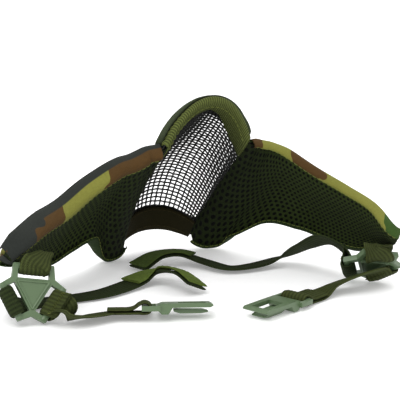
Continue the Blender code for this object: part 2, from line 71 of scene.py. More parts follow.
# The steel face in its own frame: (half width, y, z) at the lip edge, (half width, y, z) at the
# nose edge, and how far the shell crowns outwards between them.
FACE_HALF = (
    ((0.0, -41.0, 13.3), (0.0, 47.6, 109.4), 17.0),
    ((10.0, -39.8, 12.5), (8.5, 47.2, 107.4), 15.0),
    ((17.5, -37.2, 10.5), (15.5, 46.2, 102.2), 11.0),
    ((21.8, -35.0, 9.0), (21.5, 44.0, 94.5), 7.5),
    ((24.8, -33.2, 7.5), (28.4, 41.5, 82.5), 4.5),
)
FACE_TURN = math.radians(14.3)
FACE_TILT = math.radians(-1.0)
FACE_PLACE = (14.2, -3.0, 0.0)

# The wings, from the face to the rear end: lower edge, upper edge, outward crown.
LEFT_WING = (
    ((50, -26, 2.4), (38.3, 41, 79.8), 4.0),
    ((57, -19, 1.5), (43, 42.5, 77.4), 4.5),
    ((62, -15, 4.0), (48, 44, 75.4), 5.0),
    ((66.5, -6.5, 12.5), (54, 46, 74), 5.5),
    ((71, 6, 20.5), (61, 49, 71), 6.0),
    ((83, 14, 17), (74, 53, 63.6), 6.0),
    ((98, 27, 12.4), (88.5, 61, 54), 5.0),
    ((111, 48, 17), (103.5, 76, 48.7), 4.0),
    ((121.5, 72, 25.5), (117.5, 91, 42), 2.5),
    ((126, 83, 27), (124.5, 93, 38), 1.0),
)
RIGHT_WING = (
    ((-7, -39, 3.2), (-29, 27, 81.5), 4.0),
    ((-14, -37.5, 1.9), (-33, 25.5, 80), 4.5),
    ((-21.5, -33, 3.2), (-37, 25.5, 79), 5.0),
    ((-29, -25, 11), (-41, 28, 77.5), 5.5),
    ((-44, -15, 21), (-46, 32, 75), 6.0),
    ((-65, 0, 19.5), (-61, 39, 64.5), 5.5),
    ((-78, 21, 15.5), (-76, 54, 55.5), 5.0),
    ((-88, 44, 14.5), (-87, 73, 48.5), 4.0),
    ((-97, 66, 22), (-93, 89, 39), 2.5),
    ((-100.5, 76, 28), (-98, 88, 36), 1.0),
)

# U-shaped bindings: (offset, distance from the edge), outside of the U first, then its inside.
RIM_BINDING = (
    ((-5.6, 5.5), (-5.6, 1.6), (-3.4, 0.0), (1.2, 0.0), (3.0, 1.6), (3.0, 5.5)),
    ((-4.95, 5.5), (-4.95, 1.7), (-4.4, 1.5), (1.9, 1.5), (2.35, 1.7), (2.35, 5.5)),
)
HEM_BINDING = (
    ((-5.6, 4.0), (-5.6, 1.0), (-3.8, 0.0), (1.6, 0.0), (3.1, 1.0), (3.1, 4.0)),
    ((-5.0, 4.0), (-5.0, 1.7), (-4.4, 1.5), (2.0, 1.5), (2.45, 1.7), (2.45, 4.0)),
)
CHIN_STRIP = (
    (
        (-2.0, 14.0), (-2.0, 8.0), (-2.0, 1.2), (-1.2, 0.0),
        (1.2, 0.0), (2.0, 1.2), (2.0, 8.0), (2.0, 14.0),
    ),
    (
        (-1.1, 14.0), (-1.1, 8.0), (-1.1, 2.4), (-0.6, 2.2),
        (0.6, 2.2), (1.1, 2.4), (1.1, 8.0), (1.1, 14.0),
    ),
)
NOSE_BINDING = (
    ((-2.3, 9.0), (-2.6, 6.0), (-2.8, 3.0), (-1.6, 0.0), (1.2, 0.0), (2.2, 1.6), (2.0, 5.0)),
    ((-1.1, 9.0), (-1.1, 6.0), (-1.1, 2.6), (-0.6, 2.3), (0.6, 2.3), (1.1, 2.6), (1.1, 5.0)),
)
# The padded nose cover's section, once round: (offset, distance from the edge).
NOSE_COVER = (
    (1.0, 5.8), (1.0, 21.0), (2.0, 21.5), (4.6, 16.0), (6.4, 9.0),
    (6.2, 4.0), (4.4, 1.4), (2.8, 2.2), (2.6, 5.8),
)
# How far the nose binding reaches down the inside, at fractions of the way from the nose ridge to
# a crease: its flanks widen into the pads beside the nose.
NOSE_REACH = ((0.0, 0.23, 0.5, 0.7, 1.0), (9.5, 13.0, 20.5, 21.5, 17.5))

STRAP_WIDTH = 16.0
STRAP_THICKNESS = 1.6
LOOP_THICKNESS = 1.4
PATCH_THICKNESS = 1.5
STACK_GAP = 0.5  # air between a strap and the patch sewn on it

# Three-way buckle: three slotted bars round one plate, in its own frame.
BAR_INNER = 11.4
BAR_OUTER = 14.6
BAR_AXIS = (BAR_INNER + BAR_OUTER) / 2
BAR_HALF = 11.0
# Where each buckle is: centre, turn about +Z, lean of its top away from the wearer, and spin in
# its own plane.
BUCKLE_LEFT = ((111.5, 98.0, 17.0), 12.0, 28.0, -12.0)
BUCKLE_RIGHT = ((-86.8, 70.7, 13.7), -8.0, -48.0, -14.0)
WRAP_RADIUS = 3.45  # centre line of a strap round a bar

# A webbing loop from its sewn top round the buckle's top bar, in the bar's frame: y, z, width,
# and how far along the bar the sewn top sits.
WEBBING_LOOP = (
    (7.8, 1.05, 8.0), (5.2, 2.1, 11.5), (2.7, 3.1, 15.5), (0.0, 3.4, 16.0), (-2.6, 2.6, 16.0),
    (-3.6, 0.0, 16.0), (-2.6, -2.6, 16.0), (0.0, -3.4, 16.0), (2.7, -3.1, 15.5), (5.2, -2.1, 11.5),
    (7.8, -1.05, 8.0), (8.9, 0.0, 8.0),
)
LOOP_TOP_LEFT, LOOP_TOP_RIGHT = 6.8, -10.0

# Rail clips: place, turn about +Z, roll about their own X.
CLIP_LEFT = ((52.5, 104.0, 2.2), 171.0, -13.0)
CLIP_RIGHT = ((-34.0, 97.0, 0.0), 37.0, 0.0)

# Each strap: its buckle and the bar it turns round; how it leaves that bar (lead, side of the
# tail, tail length); its clip; and its run (x, y, z, roll).
STRAPS = {
    "left_head_strap": (
        BUCKLE_LEFT, 1, (-95, -1, 10), None,
        (
            (121, 81, 6.0, 36), (112, 73, 3.0, 10), (93, 64, 1.3, 0), (69, 57, 1.5, 0),
            (52, 45, 2.2, 0), (41, 38, 4.2, -4), (32, 39, 7.2, -12), (26, 47, 8.8, -20),
            (21, 58, 8.4, -26), (17, 69, 6.0, -26),
        ),
    ),
    "right_head_strap": (
        BUCKLE_RIGHT, 1, (-90, 1, 12), None,
        (
            (-67, 50, 24, 34), (-58, 34, 17, 16), (-51, 19, 8, 8), (-41, 16, 3.8, 8),
            (-29, 19, 2.2, 7), (-14, 21, 2.2, 7), (-1, 8, 3.6, 8), (13, 1, 7.2, 8), (27, 2, 6.8, 6),
            (41, 11, 2.8, 0),
        ),
    ),
    "left_rail_strap": (
        BUCKLE_LEFT, 2, (60, 1, 10), CLIP_LEFT,
        (
            (94, 110, 5.4, -20), (86, 108, 4.2, -16), (78, 104, 3.6, -13),
        ),
    ),
    "right_rail_strap": (
        BUCKLE_RIGHT, 2, (140, 1, 10), CLIP_RIGHT,
        (
            (-90, 74, 9.5, 30), (-82, 79, 11, 24), (-73, 80, 9, 20), (-60, 80, 4.5, 10),
        ),
    ),
}


# ---- the mask's curved surface
def face_station(row, side):
    """One station of the steel face, turned and placed, on the +X side or mirrored."""
    turn = Matrix.Rotation(FACE_TURN, 3, "Z") @ Matrix.Rotation(FACE_TILT, 3, "Y")
    low, high = (turn @ Vector((p[0] * side, p[1], p[2])) + Vector(FACE_PLACE) for p in row[:2])
    return (*low, *high, row[2])


def wing_station(row):
    return (*row[0], *row[1], row[2])


def all_stations():
    """Every station from the left rear end, over the face, to the right rear end."""
    left = [wing_station(row) for row in reversed(LEFT_WING)]
    face = [face_station(row, 1) for row in reversed(FACE_HALF)]
    face += [face_station(row, -1) for row in FACE_HALF[1:]]
    return np.array(left + face + [wing_station(row) for row in RIGHT_WING])


STATIONS = all_stations()
STEPS = np.linalg.norm(np.diff(STATIONS[:, :3], axis=0), axis=1)
STEPS = (STEPS + np.linalg.norm(np.diff(STATIONS[:, 3:6], axis=0), axis=1)) / 2
KNOTS = np.concatenate([[0.0], np.cumsum(STEPS)])
LEFT_END, RIGHT_END = 0.0, KNOTS[-1]
LEFT_CREASE = KNOTS[len(LEFT_WING)]
RIGHT_CREASE = KNOTS[len(LEFT_WING) + 2 * len(FACE_HALF) - 2]
SLOPES = np.gradient(STATIONS, KNOTS, axis=0)


def hermite(u, knots, values, slopes):
    """The smooth curve's value at u, through the values at the knots with the given slopes."""
    i = int(np.clip(np.searchsorted(knots, u) - 1, 0, len(knots) - 2))
    h = knots[i + 1] - knots[i]
    x = (u - knots[i]) / h
    return (
        (2 * x**3 - 3 * x**2 + 1) * values[i]
        + (x**3 - 2 * x**2 + x) * h * slopes[i]
        + (3 * x**2 - 2 * x**3) * values[i + 1]
        + (x**3 - x**2) * h * slopes[i + 1]
    )


def crown_profile(t):
    """How full the shell is from the lower edge to the upper: flatter towards the upper edge."""
    return 1.0 * t * (1 - t) + 5.2 * t * (1 - t) ** 2


def mid_surface(u, t):
    """A point of the mid surface: u along the mask in mm, t from the lower edge to the upper."""
    here = hermite(u, KNOTS, STATIONS, SLOPES)
    low, high, crown = here[:3], here[3:6], here[6]
    before = hermite(u - 1.0, KNOTS, STATIONS, SLOPES)
    after = hermite(u + 1.0, KNOTS, STATIONS, SLOPES)
    along = (after - before)[:3] + (after - before)[3:6]
    outwards = np.cross(high - low, along)
    outwards /= np.linalg.norm(outwards)
    return low + (high - low) * t + outwards * crown * crown_profile(t)


def skin(u, t, offset):
    """A point at a distance from the mid surface, outwards when positive."""
    along = mid_surface(u + 0.5, t) - mid_surface(u - 0.5, t)
    up = mid_surface(u, t + 0.005) - mid_surface(u, t - 0.005)
    normal = np.cross(up, along)
    return mid_surface(u, t) + normal / np.linalg.norm(normal) * offset


def height(u):
    """The distance from the mask's lower edge to its upper edge at u."""
    here = hermite(u, KNOTS, STATIONS, SLOPES)
    return float(np.linalg.norm(here[3:6] - here[:3]))


def from_ridge(u):
    """How far u is from the nose ridge, as a fraction of the way to a crease."""
    ridge = (LEFT_CREASE + RIGHT_CREASE) / 2
    return abs(u - ridge) / (RIGHT_CREASE - ridge)


def nose_reach(u):
    """The nose binding's inner width at u."""
    return float(np.interp(from_ridge(u), *NOSE_REACH))


def nose_padding(u):
    """How far the nose cover swells at u, from thin over the ridge to full on its flanks."""
    return float(np.interp(from_ridge(u), (0.0, 0.6), (0.35, 1.0)))


# ---- placing frames
def degrees_about(angle, axis):
    return Matrix.Rotation(math.radians(angle), 4, axis)


def buckle_frame(placing):
    """X along the top bar, Y from the centre to the top bar, Z towards the wearer."""
    place, turn, lean, spin = placing
    upright = degrees_about(180 + turn, "Z") @ degrees_about(90 - lean, "X")
    return Matrix.Translation(Vector(place)) @ upright @ degrees_about(spin, "Z")


def bar_frame(placing, index):
    """The frame of a buckle's bar: X along it, Y outwards. 0 is the top bar, 1 and 2 the lower."""
    turned = buckle_frame(placing) @ degrees_about(120 * index, "Z")
    return turned @ Matrix.Translation((0, BAR_AXIS, 0))


def clip_frame(placing):
    """X from the strap bar to the blade's tip, Z up, rolled about X."""
    place, turn, roll = placing
    return Matrix.Translation(Vector(place)) @ degrees_about(turn, "Z") @ degrees_about(roll, "X")


def row_at(frame, point, across):
    """A strap row: a point of its centre line, and the direction across it."""
    direction = frame.to_3x3() @ Vector(across)
    return [*(frame @ Vector(point)), *direction]


def wrap_rows(frame, lead, side, tail):
    """Rows of a strap from its sewn tail, round a bar and out again.

    The strap leaves the bar at lead degrees from the bar's outward direction; the tail lies on
    the side of it that side names, 1 or -1.
    """
    turned = frame @ degrees_about(lead, "X")
    rows = [row_at(turned, (0, y, side * 1.0), (1, 0, 0)) for y in (tail, (tail + 8) / 2)]
    rows.append(row_at(turned, (0, 6.5, side * 1.4), (1, 0, 0)))
    for angle in (50, 95, 140, 180, 220, 265, 310):
        y = math.cos(math.radians(angle)) * WRAP_RADIUS
        z = math.sin(math.radians(angle)) * WRAP_RADIUS * side
        rows.append(row_at(turned, (0, y, z), (1, 0, 0)))
    rows.append(row_at(turned, (0, 6.5, -side * 1.4), (1, 0, 0)))
    return rows


def run_rows(places):
    """Rows along a surface, each (x, y, z, roll), level across but for its roll in degrees."""
    places = np.array(places, float)
    along = np.gradient(places[:, :3], axis=0)
    rows = []
    for (x, y, z, roll), (ax, ay, _) in zip(places, along):
        level = math.cos(math.radians(roll)) / math.hypot(ax, ay)
        rows.append([x, y, z, -ay * level, ax * level, math.sin(math.radians(roll))])
    return rows


def aligned(rows):
    """Turn each row's across direction so that it agrees with the row before."""
    rows = np.array(rows)
    for before, row in zip(rows, rows[1:]):
        if before[3:] @ row[3:] < 0:
            row[3:] = -row[3:]
    return rows


def distances(points):
    """How far along their line the points are."""
    return np.concatenate([[0.0], np.cumsum(np.linalg.norm(np.diff(points, axis=0), axis=1))])


def smooth_path(points, count):
    """Evenly spaced rows read from one smooth curve through the given rows."""
    rows = np.array(points, float)
    knots = distances(rows[:, :3])
    slopes = np.gradient(rows, knots, axis=0)
    return np.array([hermite(u, knots, rows, slopes) for u in np.linspace(0, knots[-1], count)])


# A strap's end round the clip's bar, in the clip's frame seen from the side.
CLIP_WRAP = (
    (-18, 1.1), (-8, 1.1), (-3, 1.1), (0, 0.95), (2.4, 1.5), (3.3, 3.7), (2.4, 5.9), (0, 6.8),
    (-2.8, 5.8), (-5.5, 3.9), (-8.5, 3.1), (-13, 3.05), (-20, 3.05),
)


def clip_rows(placing):
    """Rows of a strap's end round its clip's bar."""
    frame = clip_frame(placing)
    return [row_at(frame, (x, 0, z), (0, 1, 0)) for x, z in CLIP_WRAP]


# ---- mesh helpers
def loft(name, rows, finish, body, closed=False, caps="pairs"):
    """A mesh from rings of points in mm, with UVs in mm along and round it. Unless it is closed,
    each end is capped by pairs of opposite points or, as a fan, by one face."""
    rows = np.array(rows, float)
    count, across = rows.shape[:2]
    points = ((rows + SHIFT) * MM).reshape(-1, 3)
    faces, uvs = [], []
    steps = np.linalg.norm(np.diff(rows, axis=0), axis=2).mean(axis=1)
    along = np.concatenate([[0.0], np.cumsum(steps)])
    middle = rows[count // 2]
    side = distances(np.vstack([middle, middle[:1]]))
    last = count if closed else count - 1
    for i in range(last):
        i2 = (i + 1) % count
        end = along[i] + np.linalg.norm(rows[i2] - rows[i], axis=1).mean()
        for j in range(across):
            k = (j + 1) % across
            faces.append((i * across + j, i * across + k, i2 * across + k, i2 * across + j))
            near, far = side[j], side[j + 1]
            uvs.append(((along[i], near), (along[i], far), (end, far), (end, near)))
    if not closed:
        for base, place in ((0, along[0]), ((count - 1) * across, along[-1])):
            if caps == "fan":
                faces.append(tuple(base + j for j in range(across)))
                uvs.append(tuple((place, side[j]) for j in range(across)))
                continue
            for j in range(across // 2 - 1):
                quad = (j, j + 1, across - 2 - j, across - 1 - j)
                faces.append(tuple(base + k for k in quad))
                uvs.append(tuple((place, side[k]) for k in quad))
    return piece_from(name, points, faces, finish, body, uvs)


def new_object(name, data):
    made = bpy.data.objects.new(name, data)
    bpy.context.scene.collection.objects.link(made)
    return made


def smooth_piece(name, mesh, sharp, body):
    """A smooth-shaded piece that rides on a body, sharp where its faces turn by more degrees."""
    mesh.shade_smooth()
    mesh.set_sharp_from_angle(angle=math.radians(sharp))
    piece = new_object(name, mesh)
    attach(piece, body)
    return piece


def piece_from(name, points, faces, finish, body, uvs=None):
    """A piece from points in metres."""
    mesh = bpy.data.meshes.new(name)
    mesh.from_pydata([tuple(p) for p in points], [], faces)
    if uvs:
        layer = mesh.uv_layers.new(name="place")
        corners = [corner for face in uvs for corner in face]
        layer.data.foreach_set("uv", np.array(corners, np.float32).ravel())
    mesh.validate()
    shape = bmesh.new()
    shape.from_mesh(mesh)
    bmesh.ops.recalc_face_normals(shape, faces=shape.faces[:])
    shape.to_mesh(mesh)
    shape.free()
    mesh.materials.append(finish)
    return smooth_piece(name, mesh, 50, body)


def subdivide(piece):
    modifier = piece.modifiers.new("subdivide", "SUBSURF")
    modifier.levels = 1
    modifier.render_levels = 1
    return piece


def tube(points, radius, sides, start):
    """Vertices and faces of a thin tube through the points, numbered from start."""
    points = np.array(points)
    along = np.gradient(points, axis=0)
    along /= np.linalg.norm(along, axis=1)[:, None]
    helper = np.array((0.31, 0.87, 0.38))
    first = np.cross(along, helper)
    first /= np.linalg.norm(first, axis=1)[:, None]
    second = np.cross(along, first)
    verts, faces = [], []
    for p, a, b in zip(points, first, second):
        for k in range(sides):
            turn = math.tau * k / sides
            verts.append(p + (a * math.cos(turn) + b * math.sin(turn)) * radius)
    for i in range(len(points) - 1):
        for k in range(sides):
            m = (k + 1) % sides
            a, b = start + i * sides, start + (i + 1) * sides
            faces.append((a + k, a + m, b + m, b + k))
    last = start + (len(points) - 1) * sides
    faces.append(tuple(start + k for k in range(sides)))
    faces.append(tuple(last + k for k in reversed(range(sides))))
    return verts, faces


def tubes(name, lines, radius, finish, body, sides=6):
    """Many thin tubes as one piece."""
    verts, faces = [], []
    for line in lines:
        more, new = tube(line, radius, sides, len(verts))
        verts += more
        faces += new
    points = (np.array(verts) + SHIFT) * MM
    return piece_from(name, points, faces, finish, body)


STITCH_LENGTH = 2.4
STITCH_GAP = 0.9
STITCH_LIFT = (-0.25, 0.08, 0.16, 0.08, -0.25)  # of the thread's centre, from end to end


def stitches(name, line, finish, body, radius):
    """A row of thread stitches along a line of points in mm, each sunk a little at its ends."""
    line = np.array(line, float)
    places = distances(line[:, :3])
    runs = []
    at = 0.0
    while at + STITCH_LENGTH < places[-1]:
        spots = np.linspace(at, at + STITCH_LENGTH, len(STITCH_LIFT))
        run = np.stack([np.interp(spots, places, line[:, k]) for k in range(3)], axis=1)
        lift = np.stack([np.interp(spots, places, line[:, k]) for k in range(3, 6)], axis=1)
        run += lift * np.array(STITCH_LIFT)[:, None]
        runs.append(run)
        at += STITCH_LENGTH + STITCH_GAP
    return tubes(name, runs, radius, finish, body, sides=5)


def skin_line(run, reach, upper, offset, rise=None):
    """Points on the mask's surface at a distance from an edge, with the direction outwards."""
    line = []
    for u in run:
        t = (reach - (rise(u) if rise else 0.0)) / height(u)
        t = 1 - t if upper else t
        p, q = skin(u, t, offset), skin(u, t, offset + math.copysign(1.0, offset))
        line.append([*p, *(q - p)])
    return line


# ---- materials
def srgb(red, green, blue):
    """A colour from 0-255 screen values, as the shader's linear ones."""
    made = []
    for value in (red, green, blue):
        value /= 255
        made.append(value / 12.92 if value <= 0.04045 else ((value + 0.055) / 1.055) ** 2.4)
    return (*made, 1.0)


def scaled(colour, factor):
    """A lighter or darker version of a colour."""
    return (*(min(1.0, c * factor) for c in colour[:3]), 1.0)


class Shader:
    """A small builder for node materials."""

    def __init__(self, name, roughness=0.9, specular=0.12):
        self.material = bpy.data.materials.new(name)
        self.material.use_nodes = True
        self.tree = self.material.node_tree
        self.main = self.tree.nodes["Principled BSDF"]
        self.main.inputs["Roughness"].default_value = roughness
        self.main.inputs["Specular IOR Level"].default_value = specular

    def node(self, kind, **settings):
        made = self.tree.nodes.new(kind)
        for key, value in settings.items():
            setattr(made, key, value)
        return made

    def join(self, source, target):
        self.tree.links.new(source, target)

    def feed(self, slot, value):
        """Give a socket a constant or another node's output."""
        if isinstance(value, (int, float, tuple)):
            slot.default_value = value
        else:
            self.join(value, slot)

    def math(self, operation, *values):
        made = self.node("ShaderNodeMath", operation=operation)
        for slot, value in zip(made.inputs, values):
            self.feed(slot, value)
        return made.outputs[0]

    def place(self):
        """U and V of the piece, in mm."""
        uv = self.node("ShaderNodeUVMap", uv_map="place")
        split = self.node("ShaderNodeSeparateXYZ")
        self.join(uv.outputs[0], split.inputs[0])
        return split.outputs[0], split.outputs[1]

    def position(self):
        return self.node("ShaderNodeTexCoord").outputs["Object"]

    def noise(self, scale, detail=2.0, roughness=0.5, vector=None):
        made = self.node("ShaderNodeTexNoise")
        made.inputs["Scale"].default_value = scale
        made.inputs["Detail"].default_value = detail
        made.inputs["Roughness"].default_value = roughness
        self.join(vector if vector is not None else self.position(), made.inputs["Vector"])
        return made.outputs["Fac"]

    def wave(self, coordinate, period):
        """-1..1 along a coordinate."""
        return self.math("SINE", self.math("MULTIPLY", coordinate, math.tau / period))

    def step(self, value, low, high):
        """0 below low, 1 above high."""
        made = self.node("ShaderNodeMapRange")
        self.join(value, made.inputs["Value"])
        made.inputs["From Min"].default_value = low
        made.inputs["From Max"].default_value = high
        return made.outputs[0]

    def mix(self, factor, a, b, blend="MIX"):
        made = self.node("ShaderNodeMix", data_type="RGBA", blend_type=blend)
        for slot, value in (("Factor", factor), (6, a), (7, b)):
            self.feed(made.inputs[slot], value)
        return made.outputs[2]

    def ramp(self, value, stops):
        """Colours that change sharply at the stops: (value, colour)."""
        made = self.node("ShaderNodeValToRGB")
        made.color_ramp.interpolation = "CONSTANT"
        elements = made.color_ramp.elements
        elements[0].position, elements[0].color = stops[0]
        elements[1].position, elements[1].color = stops[1]
        for place, colour in stops[2:]:
            elements.new(place).color = colour
        self.join(value, made.inputs["Fac"])
        return made.outputs["Color"]

    def colour(self, value):
        self.feed(self.main.inputs["Base Color"], value)

    def bump(self, relief, distance):
        """Raise the surface by the relief, distance mm high."""
        made = self.node("ShaderNodeBump")
        made.inputs["Distance"].default_value = distance * MM
        made.inputs["Strength"].default_value = 1.0
        self.join(relief, made.inputs["Height"])
        self.join(made.outputs[0], self.main.inputs["Normal"])

    def sheen(self, weight, tint):
        self.main.inputs["Sheen Weight"].default_value = weight
        self.main.inputs["Sheen Roughness"].default_value = 0.5
        self.main.inputs["Sheen Tint"].default_value = tint


YELLOW_GREEN = srgb(126, 126, 58)
BROWN = srgb(80, 58, 30)
GREEN = srgb(58, 82, 36)
DARK = srgb(44, 47, 44)
CLOTH_SHEEN = 0.06
PRINT_SHEEN_TINT = (0.4, 0.42, 0.3, 1.0)
WEAVE_SHADE = 0.72  # painted shade: brightness of a weave's gaps
WEAVE_TOP_HIGHLIGHT = 0.28  # painted highlight: how much brighter its thread tops are
TAPE_RIB = 1.5
NET_PITCH = 3.5
WEBBING_CONTRAST = 0.7


def woven(shader, colour, period=0.9, depth=0.12):
    """A fine weave over a colour: thread tops painted lighter as highlight, gaps painted darker as
    shade, and slow unevenness.
    """
    u, v = shader.place()
    warp = shader.math("MULTIPLY", shader.wave(u, period), shader.wave(v, period))
    lit = shader.step(warp, -1.0, 0.6)
    grain = shader.noise(900.0, 3.0)
    tone = shader.math("MULTIPLY_ADD", lit, WEAVE_TOP_HIGHLIGHT, WEAVE_SHADE)
    tone = shader.math("ADD", tone, shader.math("MULTIPLY_ADD", grain, 0.3, -0.15))
    slow = shader.noise(35.0, 2.0)
    tone = shader.math("ADD", tone, shader.math("MULTIPLY_ADD", slow, 0.24, -0.12))
    grey = shader.node("ShaderNodeCombineColor")
    for k in range(3):
        shader.join(tone, grey.inputs[k])
    shader.colour(shader.mix(1.0, colour, grey.outputs[0], "MULTIPLY"))
    shader.bump(shader.math("ADD", warp, grain), depth)
    return shader.material


def plain_cloth(name, colour, period=0.9, depth=0.12):
    shader = Shader(name, 0.92)
    shader.sheen(CLOTH_SHEEN, tuple(min(1.0, c * 1.4 + 0.1) for c in colour[:3]) + (1.0,))
    return woven(shader, colour, period, depth)


def ribbed_tape(name, colour, fold_shade_reach=None):
    """Binding tape with fine ribs across its length, their crests painted lighter as highlight and
    their dips darker as shade. Given deep, it is painted darker up to those distances, in mm round
    its section, as shade inside its fold."""
    shader = Shader(name, 0.9)
    u, v = shader.place()
    ribs = shader.wave(u, TAPE_RIB)
    fine = shader.wave(v, 0.6)
    lit = shader.step(shader.math("ADD", ribs, shader.math("MULTIPLY", fine, 0.3)), -1.1, 1.1)
    grain = shader.math("MULTIPLY", shader.noise(700.0, 3.0), 0.3)
    tone = shader.math("ADD", shader.math("MULTIPLY", lit, 0.8), grain)
    light = scaled(colour, 1.3)
    # painted shade inside the fold: a darker copy of the lit colour near the section's start
    if fold_shade_reach:
        light = shader.mix(shader.step(v, *fold_shade_reach), scaled(light, 0.4), light)
    # painted highlight and shade: rib crests take the lighter copy, dips the darker one
    shader.colour(shader.mix(tone, scaled(colour, 0.22), light))
    shader.bump(ribs, 0.2)
    shader.sheen(CLOTH_SHEEN, colour)
    return shader.material


def camouflage_colour(shader):
    """Large patches in four colours, each new colour printed over the ones before."""
    base = shader.mix(shader.step(shader.noise(22.0, 1.5), 0.49, 0.495), YELLOW_GREEN, GREEN)
    for place, scale, edge, colour in (
        ((0.37, 0.11, 0.53), 22.0 * 1.15, 0.545, BROWN),
        ((0.81, 0.62, 0.17), 22.0 * 1.4, 0.57, DARK),
    ):
        moved = shader.node("ShaderNodeMapping")
        shader.join(shader.position(), moved.inputs["Vector"])
        moved.inputs["Location"].default_value = place
        patches = shader.noise(scale, 1.5, vector=moved.outputs[0])
        base = shader.mix(shader.step(patches, edge, edge + 0.005), base, colour)
    return base


def camouflage(name):
    shader = Shader(name, 0.9)
    shader.sheen(CLOTH_SHEEN, PRINT_SHEEN_TINT)
    return woven(shader, camouflage_colour(shader), 1.0, 0.10)


def rim_cloth(name, first, last, stops, outside=None):
    """Printed cloth whose patches change along X from first to last, in metres. Past the distance
    outside, in mm round its section, it shows the dark cloth of the outer face."""
    shader = Shader(name, 0.9)
    split = shader.node("ShaderNodeSeparateXYZ")
    shader.join(shader.position(), split.inputs[0])
    ragged = shader.math("MULTIPLY_ADD", shader.noise(90.0, 1.0), 0.016, -0.008)
    slanted = shader.math("ADD", split.outputs[0], shader.math("MULTIPLY", split.outputs[2], 0.25))
    place = shader.step(shader.math("ADD", slanted, ragged), first, last)
    shader.sheen(CLOTH_SHEEN, PRINT_SHEEN_TINT)
    colour = shader.ramp(place, stops)
    if outside:
        _, around = shader.place()
        colour = shader.mix(shader.step(around, outside, outside + 0.6), colour, DARK)
    return woven(shader, colour, 1.0, 0.12)


def spacer_mesh(name):
    """Thick knitted net: staggered round holes with raised yarn between them."""
    shader = Shader(name, 0.95)
    u, v = shader.place()
    k = 4 * math.pi / (math.sqrt(3) * NET_PITCH)
    total = shader.math("COSINE", shader.math("MULTIPLY", v, k))
    for sign in (1, -1):
        slanted = k * math.sqrt(3) / 2 * sign
        mixed = shader.math("MULTIPLY_ADD", u, slanted, shader.math("MULTIPLY", v, k / 2))
        total = shader.math("ADD", total, shader.math("COSINE", mixed))
    hole = shader.step(total, 0.0, 0.9)
    grain = shader.noise(1100.0, 3.0)
    yarn = shader.math("MULTIPLY", shader.wave(u, 0.8), shader.wave(v, 0.55))
    fluff = shader.math("MULTIPLY", grain, 0.9)
    # painted highlight and shade: the yarn's crests are lighter and the dips darker; the fluff is
    # random tone
    tone = shader.math("ADD", shader.math("MULTIPLY", yarn, 0.25), fluff)
    cloth = shader.mix(tone, srgb(12, 19, 7), srgb(62, 76, 32))
    wear_and_painted_shade = shader.mix(shader.step(u, 0.0, 60.0), srgb(12, 17, 7), cloth)  # painted shade: darker towards the crease, as shadow there
    # painted shade: the holes are coloured near-black, as shadow inside them
    shader.colour(shader.mix(hole, shader.mix(0.25, wear_and_painted_shade, cloth), srgb(3, 5, 2)))
    raised = shader.math("SUBTRACT", shader.math("MULTIPLY", yarn, 0.12), hole)
    shader.bump(raised, 0.7)
    shader.sheen(0.03, srgb(90, 105, 60))
    return shader.material


def webbing(name, colour):
    """Strap webbing: a fine herringbone along its ribs."""
    shader = Shader(name, 0.86)
    u, v = shader.place()
    ribs = shader.wave(v, 2.3)
    chevron = shader.math("ADD", u, shader.math("MULTIPLY", shader.math("ABSOLUTE", ribs), 0.6))
    twill = shader.wave(chevron, 0.8)
    grain = shader.noise(800.0, 3.0)
    tone = shader.math("MULTIPLY_ADD", twill, 0.16, 0.3)
    tone = shader.math("ADD", tone, shader.math("MULTIPLY", grain, 0.4))
    tone = shader.math("ADD", tone, shader.math("MULTIPLY", ribs, 0.22))
    # painted highlight and shade: rib and twill crests take the lighter copy, the dips the darker
    # one; the grain is random tone
    light = scaled(colour, 1.35)
    shader.colour(shader.mix(tone, scaled(colour, 1 - WEBBING_CONTRAST), light))
    shader.bump(shader.math("ADD", twill, shader.math("MULTIPLY", ribs, 0.6)), 0.14)
    shader.sheen(0.05, light)
    return shader.material


def fuzz(name, colour):
    """Hook-and-loop tape: a matted pile."""
    shader = Shader(name, 0.97)
    tangle = shader.noise(420.0, 6.0, 0.7)
    clump = shader.noise(140.0, 3.0)
    uneven = shader.math("MULTIPLY_ADD", clump, 0.5, -0.2)
    tone = shader.math("ADD", shader.math("MULTIPLY", tangle, 0.9), uneven)
    light = scaled(colour, 1.4)
    shader.colour(shader.mix(tone, scaled(colour, 0.5), light))
    shader.bump(tangle, 0.6)
    shader.sheen(0.2, light)
    return shader.material


def moulded(name, colour):
    """Moulded plastic with a faint texture."""
    shader = Shader(name, 0.36, 0.5)
    mottle = shader.noise(60.0, 3.0)
    shader.colour(shader.mix(mottle, scaled(colour, 0.88), scaled(colour, 1.1)))
    shader.bump(shader.noise(1500.0, 2.0), 0.03)
    return shader.material


def coated_steel(name):
    """Black-coated wire, its coating a little rubbed off in patches."""
    shader = Shader(name, 0.5, 0.25)
    wear_and_painted_shade = shader.noise(260.0, 4.0)
    shader.colour(shader.mix(shader.step(wear_and_painted_shade, 0.55, 0.75), srgb(14, 15, 13), srgb(34, 36, 31)))
    shader.bump(shader.noise(2500.0, 2.0), 0.03)
    return shader.material


